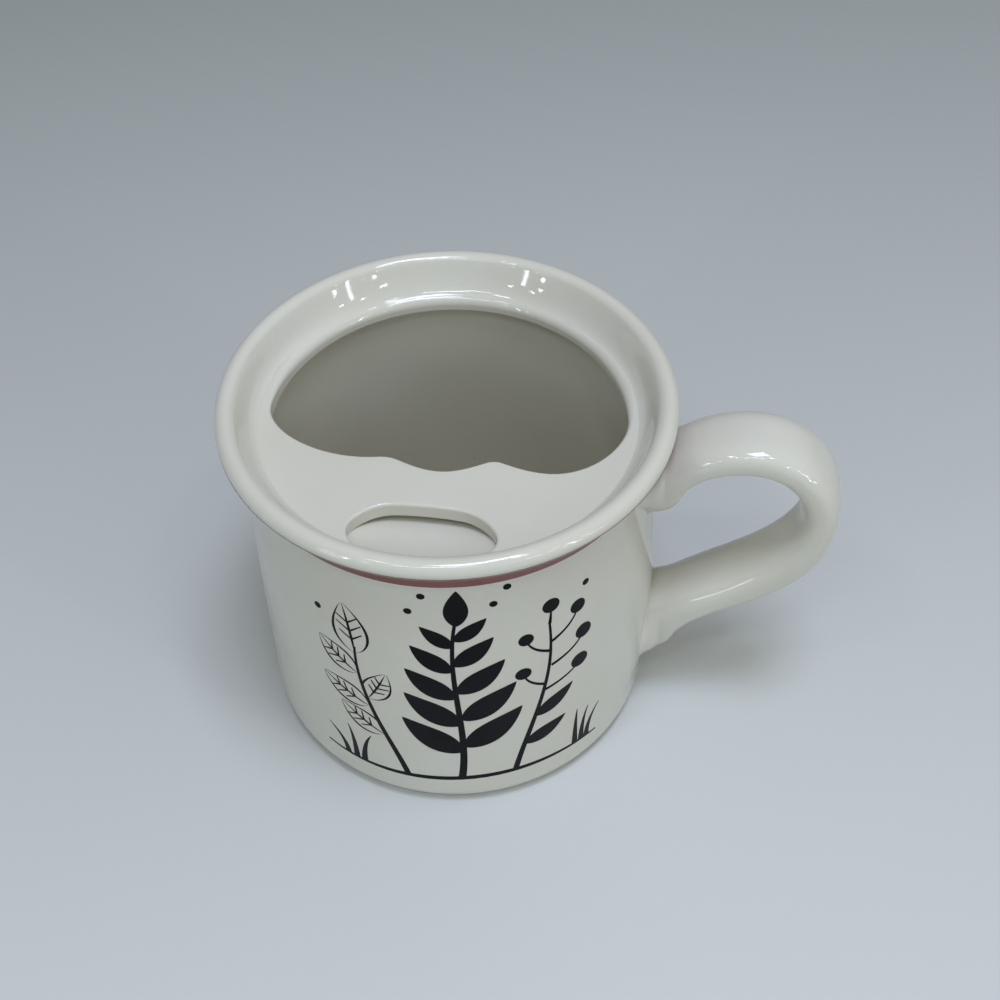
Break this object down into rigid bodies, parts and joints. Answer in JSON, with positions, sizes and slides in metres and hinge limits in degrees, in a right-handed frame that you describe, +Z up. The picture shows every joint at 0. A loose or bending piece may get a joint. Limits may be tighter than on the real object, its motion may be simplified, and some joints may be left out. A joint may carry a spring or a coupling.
{
  "type": "moustache cup",
  "caption": "Glazed ceramic cup with a flared lip, a scalloped moustache guard and drinking hole set inside it, a strap handle luted to the wall and a fired coloured line.",
  "frame": {"origin": "middle of the whole object's footprint, at the level of the foot", "axes": "+Z up, +X towards the handle, -Y the drinking side"},
  "size_m": [0.1342, 0.098, 0.0895],
  "materials": {
    "glaze": "glossy ivory glaze over a white body",
    "slip": "fired slip under the glaze",
    "enamel": "thin fired line, dusty red"
  },
  "bodies": {
    "root": {"cup_body": "glaze", "moustache_guard": "glaze", "guard_slip": "slip", "handle": "glaze", "upper_handle_slip": "slip", "lower_handle_slip": "slip", "rim_band": "enamel"}
  },
  "joints": []
}
